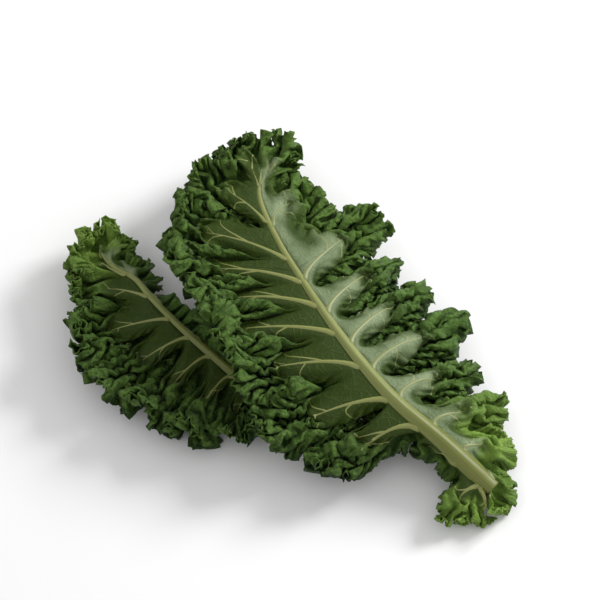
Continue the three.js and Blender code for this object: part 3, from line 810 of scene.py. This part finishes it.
midribs = {}
for name, leaf in leaves.items():
    t = np.linspace(0, 1, RIB_RINGS) ** 1.1
    centre, along, wide = leaf.rib_at(t), leaf.rib_along(t), leaf.rib_half_width(t)
    side = unit(np.stack((along[:, 1], -along[:, 0], 0 * t), -1))
    up = unit(np.cross(side, along))
    bare = 1 - smooth(0.0, BARE_END, t)
    deep = 0.9 * wide * bare + RIB_DEPTH * (1 - bare)
    high = wide * (1.15 - 0.15 * bare)
    flared = wide + FLANK * (1 - bare)
    rings = [
        ring(*each, RIB_FLARE * (1 - b), RIB_POINTS)
        for *each, b in zip(centre, side, up, flared, high, deep, bare)
    ]
    values = {
        "along": np.repeat(t * leaf.length[-1], RIB_POINTS),
        "around": np.tile(np.arange(RIB_POINTS) / RIB_POINTS, RIB_RINGS),
    }
    midribs[name] = new_piece(name + "_midrib", *tube(rings), values)

# Linear colours: two shades of fibre, a patchy one and that of finer streaks, the lower part of the rib, and
# the side veins on the right, paler under the bloom and its painted sheen.
FIBRE_DARK, FIBRE_PALE, FIBRE_PATCH = (0.19, 0.22, 0.05), (0.31, 0.33, 0.12), (0.17, 0.21, 0.045)
FINE_STREAKS, FOOT, VEIN_BLOOM_AND_SHEEN = (0.19, 0.2, 0.04), (0.11, 0.13, 0.012), (0.18, 0.225, 0.115)

pith, tree, shader, place = material("kale rib")
along = kept_value(tree, "along")
fibre = node(tree, "ShaderNodeCombineXYZ")
link(tree, times(tree, along, 14.0), fibre.inputs[0])
link(tree, times(tree, kept_value(tree, "around"), 26.0), fibre.inputs[1])
streaks = noise_on(tree, fibre.outputs[0], 1.0, 4.0).outputs["Fac"]
patchy = noise_on(tree, place, 60.0, 3.0).outputs["Fac"]
colour = mix(tree, ramp(tree, streaks, 0.3, 0.7), FIBRE_DARK, FIBRE_PALE)
colour = mix(tree, times(tree, patchy, 0.5), colour, FIBRE_PATCH)
# The side veins right of the tip are paler: waxy bloom and painted sheen.
colour = mix(tree, times(tree, kept_value(tree, "pale"), 0.65), colour, VEIN_BLOOM_AND_SHEEN)
foot = maths(tree, "SUBTRACT", 1.0, ramp(tree, along, 0.03, 0.15))
colour = mix(tree, times(tree, foot, 0.85), colour, FOOT)
colour = mix(tree, times(tree, ramp(tree, streaks, 0.38, 0.62), 0.45), colour, FINE_STREAKS)
link(tree, colour, shader.inputs["Base Color"])
link(tree, times_add(tree, streaks, 0.3, 0.3), shader.inputs["Roughness"])
shader.inputs["Subsurface Weight"].default_value = 0.12
shader.inputs["Subsurface Radius"].default_value = (0.003, 0.004, 0.0015)
bump = node(tree, "ShaderNodeBump", Strength=0.6, Distance=0.0006)
link(tree, times_add(tree, patchy, 1.5, streaks), bump.inputs["Height"])
link(tree, bump.outputs["Normal"], shader.inputs["Normal"])

for name, piece in midribs.items():
    piece.data.materials.append(pith)
    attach(piece, "root")
    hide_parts(name + "_rib")

# ---- Side veins ----
# Thinner strands of the same tissue leave the midrib on both sides and hold up the blade. They fork two or
# three times, thin out, and are lost in the frill.

VEIN_RINGS, VEIN_POINTS = 46, 10
VEIN_WIDTHS = (1.25, 0.25)  # half widths in millimetres at the root and the end
TIP_WIDTHS = (1.3, 0.25)
FORK_END = 0.22
FORKS = ((0.26, 0.42, 0.42, 0.75), (0.42, 0.38, -0.38, 0.65), (0.56, 0.25, 0.24, 0.45))
SHORTEST_FORK = 0.06
LOST_IN_FRILL = 0.45


def on_blade(blade, q, v):
    """Points on a grown blade, and the direction that its ribbed side faces there."""
    j = np.interp(q, blade.q, np.arange(len(blade.q)))
    i = np.interp(v, blade.shares, np.arange(len(blade.shares)))
    rows = blade.rows

    def at(i, j):
        i, j = np.clip(i, 0, rows.shape[0] - 1.001), np.clip(j, 0, rows.shape[1] - 1.001)
        a, b = i.astype(int), j.astype(int)
        f, g = (i - a)[:, None], (j - b)[:, None]
        upper = rows[a, b] * (1 - g) + rows[a, b + 1] * g
        lower = rows[a + 1, b] * (1 - g) + rows[a + 1, b + 1] * g
        return upper * (1 - f) + lower * f

    up = unit(np.cross(at(i, j + 6) - at(i, j - 6), at(i + 0.8, j) - at(i - 0.8, j)))
    return at(i, j), up


def frilled_from(blade, q):
    """The share of the way to the margin where the frill is full, and the veins are lost in it."""
    column = np.clip(np.searchsorted(blade.q, q), 0, len(blade.q) - 1)
    return np.interp(LOST_IN_FRILL, blade.edge[:, column], blade.shares)


def vein_lines(leaf, blade):
    """Where the veins and their forks run, how thick each is, and whether it starts at the rib."""
    rng = np.random.default_rng(7 + leaf.last)
    s = np.linspace(0, 1, VEIN_RINGS)
    lines = []

    def lay(q_line, v_line, widths, rooted):
        lines.append((q_line - (leant(leaf, q_line, v_line) - q_line), v_line, widths, rooted))

    for n in range(leaf.last + 1):
        reach = min(0.84 + 0.06 * rng.uniform(-1, 1), frilled_from(blade, n))
        lay(n + 0.05 * np.sin(3 * s + n) * s, 0.02 + (reach - 0.02) * s, VEIN_WIDTHS, True)
        for start, length, turn, thick in FORKS:
            start = start + 0.05 * rng.uniform(-1, 1)
            turn = turn * (1 if n % 2 else -1) * rng.uniform(0.7, 1.1)
            begin = n + 0.05 * np.sin(3 * start / reach + n) * start / reach
            length = min(length, frilled_from(blade, begin + turn) - start)
            if length >= SHORTEST_FORK:
                lay(begin + turn * s**0.85, start + length * s, (thick, FORK_END), False)
    out = np.linspace(0, 0.6, VEIN_RINGS)
    lines.append((0 * out + leaf.facts["tip_vein"], out, TIP_WIDTHS, True))
    return lines


def vein(leaf, blade, q_line, v_line, widths, rooted):
    """One closed strand on the blade, joined to the rib if it is rooted there."""
    scale = leaf.facts["vein_scale"]
    thick, thin = widths
    place, up = on_blade(blade, np.clip(q_line, 0, leaf.last), v_line)
    s = np.linspace(0, 1, len(q_line))
    if rooted:
        line = leaf.rib_at(np.linspace(0, 1, 801))
        nearest = np.argmin(((line - place[0]) ** 2).sum(1)) / 800
        joint = np.clip(nearest - 0.012, 0.03, 0.96)
        start = leaf.rib_at(np.array([joint])) + np.array((0, 0, 0.5 * MM))
        place = np.concatenate((start, place))
        up = np.concatenate((up[:1], up))
        s = np.concatenate(((0,), s))
        thick = min(thick, 0.75 * leaf.rib_half_width(joint) / MM / scale)
    side = unit(np.cross(unit(np.gradient(place, axis=0)), up))
    wide = (thin + (thick - thin) * (1 - s) ** 0.8) * scale * MM
    if rooted:
        wide = wide * (1 + 0.35 * np.exp(-s / 0.08))
    rings = [
        ring(*each, w, 0.72 * w, 0.3 * MM, 0.8, VEIN_POINTS) for *each, w in zip(place, side, up, wide)
    ]
    return tube(rings)


side_veins = {}
for name, leaf in leaves.items():
    points, faces, pale = [], [], []
    for q_line, v_line, widths, rooted in vein_lines(leaf, grown[name]):
        base = sum(len(strand) for strand in points)
        strand, strand_faces = vein(leaf, grown[name], q_line, v_line, widths, rooted)
        points.append(strand)
        faces += [[i + base for i in face] for face in strand_faces]
        # Veins right of the tip take the paler colour of the bloom and its painted sheen.
        pale.append(np.full(len(strand), float(q_line[-1] > leaf.facts["tip_vein"] + 0.5)))
    points, pale = np.concatenate(points), np.concatenate(pale)
    values = {"pale": pale, "along": np.full(len(points), 0.2)}
    side_veins[name] = new_piece(name + "_side_veins", points, faces, values)

for name, piece in side_veins.items():
    piece.data.materials.append(pith)
    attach(piece, "root")
    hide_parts(name + "_rib")

# ---- Floor, light and camera ----
# The leaves lie on a plain pale floor, under a large soft lamp, a weak one on the other side and an even
# white sky. The camera is far away and looks down steeply.

FLOOR_SIZE, FLOOR_SHADE, FLOOR_ROUGHNESS = 6, 0.9, 0.8
SKY = 0.7
KEY_PLACE, FILL_PLACE = (1.25, 0.75, 0.95), (-1.2, -0.6, 1.2)
ELEVATION = math.radians(60)
VIEW_ACROSS = 0.42
CAMERA_AWAY = 6.0
TARGET = np.array((0.0055, 0.0338, 0))

bpy.ops.object.select_all(action="DESELECT")
bpy.ops.mesh.primitive_plane_add(size=FLOOR_SIZE)
floor = bpy.context.object
floor.name = "floor"
pale_floor, _, shader, _ = material("floor")
shader.inputs["Base Color"].default_value = (FLOOR_SHADE, FLOOR_SHADE, FLOOR_SHADE, 1)
shader.inputs["Roughness"].default_value = FLOOR_ROUGHNESS
floor.data.materials.append(pale_floor)

world = bpy.data.worlds.new("studio")
world.use_nodes = True
world.node_tree.nodes["Background"].inputs["Color"].default_value = (1, 1, 1, 1)
world.node_tree.nodes["Background"].inputs["Strength"].default_value = SKY
bpy.context.scene.world = world


def lamp(name, place, size, power):
    """A square soft lamp that faces the middle of the floor."""
    light = bpy.data.lights.new(name, "AREA")
    light.size = size
    light.energy = power
    thing = bpy.data.objects.new(name, light)
    bpy.context.scene.collection.objects.link(thing)
    thing.location = place
    x, y, z = place
    thing.rotation_euler = (math.acos(z / math.hypot(x, y, z)), 0, math.atan2(x, -y))


lamp("key", KEY_PLACE, 0.6, 27)
lamp("fill", FILL_PLACE, 1.2, 2)

camera = bpy.data.cameras.new("camera")
camera.sensor_width = 36
camera.lens = camera.sensor_width * CAMERA_AWAY / VIEW_ACROSS
camera_object = bpy.data.objects.new("camera", camera)
bpy.context.scene.collection.objects.link(camera_object)
back = np.array((0, -math.cos(ELEVATION), math.sin(ELEVATION)))
camera_object.location = TARGET + back * CAMERA_AWAY
camera_object.rotation_euler = (math.pi / 2 - ELEVATION, 0, 0)
bpy.context.scene.camera = camera_object
bpy.context.scene.view_settings.view_transform = "Standard"

bpy.context.view_layer.update()
